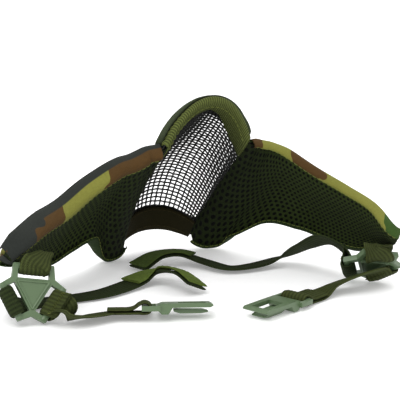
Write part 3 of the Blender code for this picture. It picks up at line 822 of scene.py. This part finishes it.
def make_paint():
    left_rim = (
        (0.0, BROWN), (0.27, YELLOW_GREEN), (0.57, BROWN), (0.72, DARK), (0.93, BROWN),
        (0.97, DARK),
    )
    right_rim = (
        (0.0, GREEN), (0.10, YELLOW_GREEN), (0.47, BROWN), (0.74, YELLOW_GREEN), (0.96, BROWN),
    )
    return {
        "steel": coated_steel("steel_wire"),
        "chin": plain_cloth("chin_cloth", srgb(38, 35, 16)),
        # the nose tape's first 10 mm round its section is painted darker, as shade inside its fold
        "binding": ribbed_tape("nose_tape", srgb(84, 92, 46), fold_shade_reach=(0.0, 10.0)),
        "chin_thread": plain_cloth("chin_thread", srgb(58, 52, 28), 0.4, 0.05),
        "cover": camouflage("camouflage_cloth"),
        "nose_cover": plain_cloth("nose_cover_cloth", srgb(62, 70, 50)),
        "lining": spacer_mesh("spacer_mesh"),
        "left_rim": rim_cloth("left_rim_cloth", 0.046, 0.126, left_rim, 11.5),
        "right_rim": rim_cloth("right_rim_cloth", -0.098, -0.022, right_rim),
        "hem": ribbed_tape("hem_tape", srgb(40, 56, 24)),
        "webbing": webbing("webbing", srgb(64, 72, 36)),
        "dark_webbing": webbing("head_webbing", srgb(44, 54, 27)),
        "thread": plain_cloth("thread", srgb(104, 112, 56), 0.4, 0.05),
        "plastic": moulded("plastic", srgb(82, 102, 71)),
        "loops": fuzz("loop_pile", srgb(80, 95, 40)),
        "hooks": fuzz("hook_tape", srgb(58, 72, 30)),
    }


# ---- the mask
MESH_TUCK = 7.0  # how far the steel face runs on under a wing's outer cloth
WIRE_PITCH = 2.45  # between wires that run up the face
WIRE_ROW_PITCH = 3.0  # between wires that run across it
WIRE_RADIUS = 0.56
WIRE_WAVE = 0.34  # how far a wire swings over and under the wires it crosses
WIRE_PAST_CREASE = 5.5
WIRE_MARGIN = 3.0  # from the wires' ends to the face's edges
FINE = 110  # stations along a wing
SHEET_ROWS = 34  # points up a wing's sheet
FACE_THREAD = 0.22  # radii of the sewing threads
WING_THREAD = 0.2


def make_wire_face(paint):
    """A woven wire screen: every wire passes over and under the ones that cross it."""
    first, last = LEFT_CREASE - WIRE_PAST_CREASE, RIGHT_CREASE + WIRE_PAST_CREASE
    columns = int(round((last - first) / WIRE_PITCH))
    tall = max(height(u) for u in np.linspace(first, last, 9))
    rows = int(round(tall / WIRE_ROW_PITCH))

    def spot(across, up, phase):
        """A point of a wire, at fractions of the way across and up the screen."""
        u = first + (last - first) * across
        edge = WIRE_MARGIN / height(u)
        return skin(u, edge + (1 - 2 * edge) * up, WIRE_WAVE * math.cos(math.pi * phase))

    lines = []
    for i in range(columns + 1):
        lines.append([spot(i / columns, k / (2 * rows), k / 2 + i) for k in range(2 * rows + 1)])
    for j in range(rows + 1):
        ups = range(2 * columns + 1)
        lines.append([spot(k / (2 * columns), j / rows, k / 2 + j + 1) for k in ups])
    screen = tubes("wire_screen", lines, WIRE_RADIUS, paint["steel"], "mask")
    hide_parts("steel_mesh_face")


def sheet_rows(run, low_edge, high_edge, outer, inner):
    """Ring sections of a sheet between two offset functions of (u, t)."""
    rows = []
    for u in run:
        tall = height(u)
        places = np.linspace(low_edge(u) / tall, 1 - high_edge(u) / tall, SHEET_ROWS)
        row = [skin(u, t, outer(u, t)) for t in places]
        row += [skin(u, t, inner(u, t)) for t in reversed(places)]
        rows.append(row)
    return rows


def swept(name, run, contour, upper, finish, widen=None):
    """A folded edge strip: its section carried along the mask's upper or lower edge. Where widen is
    given, it says how far the strip's inner side reaches at u."""
    outside, inside = contour
    ring = list(outside) + list(reversed(inside))
    rows = []
    for u in run:
        row = []
        for offset, reach in ring:
            if widen and offset < 0 and reach > 4:
                reach *= widen(u) / inside[0][1]
            t = reach / height(u)
            row.append(skin(u, 1 - t if upper else t, offset))
        rows.append(row)
    return subdivide(loft(name, rows, finish, "mask"))


def face_run(margin, count=60):
    return np.linspace(LEFT_CREASE + margin, RIGHT_CREASE - margin, count)


def make_face_cloth(paint):
    chin = swept("chin_band", face_run(1.2), CHIN_STRIP, False, paint["chin"])
    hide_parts("chin_strip")
    nose = swept("nose_tape", face_run(1.2), NOSE_BINDING, True, paint["binding"], nose_reach)
    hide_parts("nose_binding")
    rows = []
    flat = NOSE_COVER[-1][0]  # only what stands further out than this swells
    for u in face_run(3.2):
        tall = height(u)
        row = []
        for offset, reach in NOSE_COVER:
            if offset > flat:
                offset = flat + (offset - flat) * nose_padding(u)
            row.append(skin(u, 1 - reach / tall, offset))
        rows.append(row)
    cover = subdivide(loft("nose_pad", rows, paint["nose_cover"], "mask", caps="fan"))
    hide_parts("nose_cover")
    run = face_run(2.0, 90)
    for name, reach, upper, offset in (
        ("nose_seam_inside", 5.2, True, -2.72), ("nose_seam_outside", 4.4, True, 2.15),
        ("chin_seam_inside", 2.6, False, -2.05), ("chin_seam_outside", 2.6, False, 2.05),
        ("chin_top_seam", 12.2, False, -2.05), ("chin_top_seam_outside", 12.2, False, 2.05),
    ):
        slot, thread = ("binding", "thread") if upper else ("chin", "chin_thread")
        line = skin_line(run, reach, upper, offset)
        seam = stitches(name, line, paint[thread], "mask", FACE_THREAD)


def pucker(u, t, size, seed):
    """Small cushions and creases, gone at the sheet's edges."""
    fade = (4 * t * (1 - t)) ** 0.5 if 0 < t < 1 else 0.0
    wide = math.sin(u / 7.3 + seed) * math.sin(t * 6.1 + seed * 1.7)
    return size * fade * (wide + 0.5 * math.sin(u / 3.7 - t * 9 + seed))


# The right wing's rim, thinner and shorter inside than the left's.
SLIM_RIM = (
    ((-3.9, 2.6), (-3.9, 1.3), (-2.6, 0.0), (1.2, 0.0), (2.8, 1.4), (3.0, 5.5)),
    ((-3.3, 2.6), (-3.3, 1.5), (-2.4, 0.9), (1.4, 0.9), (2.2, 1.7), (2.35, 5.5)),
)


def ease(x):
    """0 up to 0, 1 from 1 on, and smooth between."""
    x = min(1.0, max(0.0, x))
    return x * x * (3 - 2 * x)


def make_wing(side, crease, end, paint):
    """One cheek: outer cloth that swells beyond the rim, pad and net inside, and the bindings."""
    left = side == "left"
    way = 1 if end > crease else -1
    seed = 1.0 if left else 4.2
    edge = 4.3 if left else 3.1  # how far the pad stands out under the rim
    full_pad, thin_pad = 4.5, 1.9  # and away from the rim, and by the crease

    def stations(gap, stop, count=FINE):
        """Places along the wing, from gap past the crease to stop before the rear end."""
        return np.linspace(crease + way * gap, end - way * stop, count)

    def swell(u):
        """How far the left wing's outer cloth bulges beyond its rim."""
        far = (u - crease) / (end - crease)
        bulge = np.interp(far, (0.0, 0.12, 0.7, 0.92, 1.0), (2.0, 3.5, 5.5, 4.5, 1.5))
        return float(bulge) if left else 0.0

    def rise(u):
        """How far the upper edge is bowed up, most halfway along."""
        far = min(1.0, max(0.0, (u - crease) / (end - crease)))
        return (0.6 if left else 2.2) * math.sin(math.pi * far)

    def below(u, t):
        return (1 - t) * height(u) + rise(u)

    def outside(u, t):
        near = math.exp(-((below(u, t) / 17) ** 2))  # 1 at the rim, fading below it
        return 1.9 + pucker(u, t, 0.25, seed) + 0.75 * swell(u) * near

    def under(u, t):
        return 0.6 if way * (u - crease) > MESH_TUCK + 1 else -1.2

    def inside(u, t):
        full = edge + (full_pad - edge) * ease(below(u, t) / 9) + 0.5 * (4 * t * (1 - t))
        thin = thin_pad + (full - thin_pad) * ease((way * (u - crease) + 2) / 9)
        return -thin - pucker(u, t, 0.22, seed)

    def foot(u):
        """Where the sheets start above the lower edge, higher by the crease."""
        return 2.3 + 3.2 * (1 - ease((way * (u - crease) + 2) / 6))

    back_face = 0.9  # of the outer cloth
    rows = sheet_rows(
        stations(0.4, 1.2), foot, lambda u: 2.2 - rise(u), outside, lambda u, t: back_face,
    )
    cover = loft(f"{side}_cover", rows, paint["cover"], "mask")
    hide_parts(f"{side}_cheek_cover")
    rows = sheet_rows(stations(-2.0, 1.2), foot, lambda u: 1.9 - rise(u), under, inside)
    pad = loft(f"{side}_pad", rows, paint["lining"], "mask")
    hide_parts(f"{side}_cheek_lining", f"{side}_cheek_foam")
    contour = RIM_BINDING if left else SLIM_RIM
    ring = list(contour[0]) + list(reversed(contour[1]))
    rows = []
    for u in stations(1.4, 0.4, 70):
        row = []
        for offset, reach in ring:
            offset *= 1 + max(0.0, math.copysign(swell(u) / 3.0, offset))
            row.append(skin(u, 1 - (reach - rise(u)) / height(u), offset))
        rows.append(row)
    rim = subdivide(loft(f"{side}_rim", rows, paint[f"{side}_rim"], "mask"))
    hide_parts(f"{side}_rim_binding")
    tall = height(end - way * 2)
    rows = []
    for t in np.linspace(4.5 / tall, 1 - 6.0 / tall, 24):
        rows.append([
            skin(end - way * (0.3 + reach * 0.8), t, offset * 1.04) for offset, reach in ring
        ])
    back = subdivide(loft(f"{side}_rear_binding", rows, paint[f"{side}_rim"], "mask"))
    hem = swept(f"{side}_hem", stations(2.2, 0.4, 70), HEM_BINDING, False, paint["hem"])
    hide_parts(f"{side}_lower_binding")
    inner = 5.66 if left else 3.98  # the thread's distance from the mid surface, on the rim
    for name, reach, upper, offset, slot in (
        ("rim_seam_inside", 4.6 if left else 2.0, True, -inner, "rim"),
        ("hem_seam_inside", 3.3, False, -5.66, "hem"),
        ("hem_seam_outside", 3.3, False, 3.16, "hem"),
    ):
        line = skin_line(stations(2.6, 1.5), reach, upper, offset, rise if upper else None)
        seam = stitches(f"{side}_{name}", line, paint["thread"], "mask", WING_THREAD)


# ---- the harness
RIBS = 7  # along a webbing strap
RIB_DEPTH = 0.07
PATH_ROWS = 220  # along each strap's path
LOOP_STEP = 0.125  # between a webbing loop's rows, in its table's rows
TACK_ROW = 10
TACK_TURNS = 22
TACK_REACH = 1.1
# The buckle's drawn bars and the raised edge of its three-cornered plate.
BAR_RADIUS = 2.05
PLATE_CORNER = 10.0
PLATE_FACE = 1.55
PLATE_EDGE_RADIUS = 0.75


def strap_section(across, normal, width, thickness):
    """One ring of a webbing strap: ribbed faces and rounded edges."""
    top, bottom = [], []
    count = 2 * RIBS + 1
    for k in range(count + 1):
        x = -1 + 2 * k / count
        rib = (RIB_DEPTH if k % 2 else -RIB_DEPTH) * (abs(x) < 0.95)
        swell = thickness / 2 * (1 - abs(x) ** 8 * 0.75) + rib
        top.append(across * x * width / 2 + normal * swell)
        bottom.append(across * x * width / 2 - normal * swell)
    return top + bottom[::-1]


def strap_rows(path, width, thickness, lift=0.0, closed=False):
    """A strap's rings along its path, or those of a layer lifted off its face."""
    centre, across = path[:, :3], path[:, 3:6]
    if closed:
        along = np.roll(centre, -1, axis=0) - np.roll(centre, 1, axis=0)
    else:
        along = np.gradient(centre, axis=0)
    along /= np.linalg.norm(along, axis=1)[:, None]
    across = across - along * np.sum(across * along, axis=1)[:, None]
    across /= np.linalg.norm(across, axis=1)[:, None]
    normal = np.cross(along, across)
    widths = np.broadcast_to(width, len(centre))
    rows = []
    for p, a, n, wide in zip(centre, across, normal, widths):
        rows.append([p + n * lift + q for q in strap_section(a, n, wide, thickness)])
    return rows


def strap_paths():
    """Each strap's path, and the frame of the buckle bar it turns round."""
    paths, bars = {}, {}
    for name, (buckle, bar, wrap, clip, run) in STRAPS.items():
        bars[name] = bar_frame(buckle, bar)
        rows = wrap_rows(bars[name], *wrap) + run_rows(run)
        rows += clip_rows(clip) if clip else []
        paths[name] = smooth_path(aligned(rows), PATH_ROWS)
    return paths, bars


def bar_tack(name, path, finish, body):
    """A dense zigzag of thread across a strap, near its sewn end."""
    at, width, lift = TACK_ROW, STRAP_WIDTH - 2, STRAP_THICKNESS / 2 + 0.1
    centre, across = path[at, :3], path[at, 3:6] / np.linalg.norm(path[at, 3:6])
    along = path[at + 3, :3] - path[at - 3, :3]
    along /= np.linalg.norm(along)
    normal = np.cross(along, across)
    line = []
    for k in range(TACK_TURNS):
        x = -width / 2 + width * k / (TACK_TURNS - 1)
        shift = along * (TACK_REACH if k % 2 else -TACK_REACH)
        line.append(centre + across * x + shift + normal * lift)
    piece = tubes(name, [line], FACE_THREAD, finish, body, sides=5)


def make_straps(paint):
    paths, bars = strap_paths()
    lift = STRAP_THICKNESS / 2 + STACK_GAP + PATCH_THICKNESS / 2
    # each patch covers the last rows of its strap's path
    for name, strap, rows, finish, node in (
        ("left_loop_pile", "left_head_strap", 68, "loops", "left_loop_patch"),
        ("right_hook_tape", "right_head_strap", 46, "hooks", "right_hook_patch"),
    ):
        path = paths[strap][-rows:]
        shape = strap_rows(path, STRAP_WIDTH - 0.6, PATCH_THICKNESS, lift)
        pile = loft(name, shape, paint[finish], strap.replace("_", " "), caps="fan")
        rough = pile.modifiers.new("pile", "DISPLACE")
        rough.texture = bpy.data.textures.new(name, "CLOUDS")
        rough.texture.noise_scale = 0.0016
        rough.strength = 0.0007 if finish == "loops" else 0.0003
        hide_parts(node)
    for side in ("left", "right"):
        for kind in ("head", "rail"):
            name = f"{side}_{kind}_strap"
            body = f"{side} {kind} strap"
            shape = strap_rows(paths[name], STRAP_WIDTH, STRAP_THICKNESS)
            finish = "dark_webbing" if kind == "head" else "webbing"
            strap = loft(f"{side}_{kind}_webbing", shape, paint[finish], body, caps="fan")
            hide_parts(name)
            bar_tack(f"{name}_tack", paths[name], paint["thread"], body)


def softened(name, node, finish, radius):
    """A moulded piece with the CAD's shape and rounded edges, on the body named like its node."""
    source = bpy.data.objects[node].data
    shape = bmesh.new()
    shape.from_mesh(source)
    bmesh.ops.remove_doubles(shape, verts=shape.verts[:], dist=0.00002)
    bmesh.ops.dissolve_limit(
        shape, angle_limit=math.radians(4), verts=shape.verts[:], edges=shape.edges[:])
    mesh = bpy.data.meshes.new(name)
    shape.to_mesh(mesh)
    shape.free()
    mesh.materials.clear()
    mesh.materials.append(finish)
    piece = smooth_piece(name, mesh, 40, node.replace("_", " "))
    bevel = piece.modifiers.new("soften", "BEVEL")
    bevel.width = radius * MM
    bevel.segments = 3
    bevel.limit_method = "ANGLE"
    bevel.angle_limit = math.radians(35)
    bevel.harden_normals = False
    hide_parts(node)


def make_rails(side, placing, paint):
    """The buckle's rounded bars and the raised edge of its middle plate."""
    plastic, body = paint["plastic"], f"{side} buckle"
    along = np.linspace(0.6 - BAR_HALF, BAR_HALF - 0.6, 5)
    bars = [
        [np.array(bar_frame(placing, index) @ Vector((x, 0, 0))) for x in along]
        for index in range(3)
    ]
    rails = tubes(f"{side}_buckle_bars", bars, BAR_RADIUS, plastic, body, sides=16)
    frame_here = buckle_frame(placing)
    edges = []
    for face in (-PLATE_FACE, PLATE_FACE):
        corners = [
            Vector((math.sin(a) * PLATE_CORNER, math.cos(a) * PLATE_CORNER, face))
            for a in np.radians((60, 180, 300, 60))
        ]
        for start, end in zip(corners, corners[1:]):
            edges.append([np.array(frame_here @ start.lerp(end, k / 4)) for k in range(5)])
    rim = tubes(f"{side}_buckle_edge", edges, PLATE_EDGE_RADIUS, plastic, body, sides=10)


def make_hardware(paint):
    for side, placing in (("left", BUCKLE_LEFT), ("right", BUCKLE_RIGHT)):
        make_rails(side, placing, paint)
        for name, node, radius in (
            ("three_way_buckle", "buckle", 0.5), ("clip", "rail_clip", 0.35),
            ("tongue", "clip_tongue", 0.4),
        ):
            softened(f"{side}_{name}", f"{side}_{node}", paint["plastic"], radius)


def make_webbing_loop(side, placing, top, paint):
    """The band that holds a buckle: sewn to the wing's end at top along the buckle's bar."""
    frame_here = bar_frame(placing, 0)
    rows = []
    for y, z, width in WEBBING_LOOP:
        along = top * max(0.0, y / WEBBING_LOOP[-1][0])
        rows.append([*row_at(frame_here, (along, y, z), (1, 0, 0)), width])
    rows = np.array(rows)
    closed = np.vstack([rows[-3:], rows, rows[:3]])
    knots = np.arange(len(closed), dtype=float)
    slopes = np.gradient(closed, knots, axis=0)
    places = np.arange(3, len(rows) + 3, LOOP_STEP)
    smooth = np.array([hermite(u, knots, closed, slopes) for u in places])
    shape = strap_rows(smooth[:, :6], smooth[:, 6], LOOP_THICKNESS, closed=True)
    piece = loft(f"{side}_loop", shape, paint["webbing"], "mask", closed=True)
    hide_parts(f"{side}_webbing_loop")


# ---- the studio
def make_floor():
    bpy.ops.mesh.primitive_plane_add(size=40.0, location=(0, 0, -0.0002))
    floor = bpy.context.object
    floor.name = "studio_floor"
    shader = Shader("studio_floor", 0.8)
    shader.colour((0.9, 0.9, 0.9, 1.0))
    shader.main.inputs["Emission Color"].default_value = (1.0, 1.0, 1.0, 1.0)
    shader.main.inputs["Emission Strength"].default_value = 0.22
    floor.data.materials.append(shader.material)


def make_light():
    world = bpy.data.worlds.new("studio")
    bpy.context.scene.world = world
    world.use_nodes = True
    sky = world.node_tree.nodes["Background"].inputs
    sky["Color"].default_value = (1, 1, 1, 1)
    sky["Strength"].default_value = 1.0
    for name, place, size, power in (
        ("key", (0.5, 0.7, 1.1), 0.9, 9.0), ("front", (-0.4, -0.9, 1.0), 0.9, 6.0),
    ):
        lamp = bpy.data.lights.new(name, "AREA")
        lamp.size = size
        lamp.energy = power
        holder = new_object(name, lamp)
        holder.location = place
        holder.rotation_euler = Vector(place).to_track_quat("Z", "Y").to_euler()


def make_camera():
    """The camera stands behind the mask, a little above it, and looks down into its inside."""
    azimuth, elevation, distance = math.radians(168.0), math.radians(15.06), 0.7722
    level = math.cos(elevation)
    back = Vector((math.sin(azimuth) * level, -math.cos(azimuth) * level, math.sin(elevation)))
    lens = bpy.data.cameras.new("camera")
    lens.sensor_width = 36.0
    lens.lens = 110.95
    lens.shift_y = 0.16
    lens.clip_start = 0.01
    camera = new_object("camera", lens)
    camera.location = Vector(SHIFT * MM) + back * distance
    camera.rotation_euler = back.to_track_quat("Z", "Y").to_euler()
    bpy.context.scene.camera = camera


def main():
    make_camera()
    make_light()
    make_floor()
    paint = make_paint()
    make_hardware(paint)
    make_straps(paint)
    make_webbing_loop("left", BUCKLE_LEFT, LOOP_TOP_LEFT, paint)
    make_webbing_loop("right", BUCKLE_RIGHT, LOOP_TOP_RIGHT, paint)
    make_wire_face(paint)
    make_face_cloth(paint)
    make_wing("left", LEFT_CREASE, LEFT_END, paint)
    make_wing("right", RIGHT_CREASE, RIGHT_END, paint)
    bpy.context.scene.view_settings.view_transform = "Standard"


main()
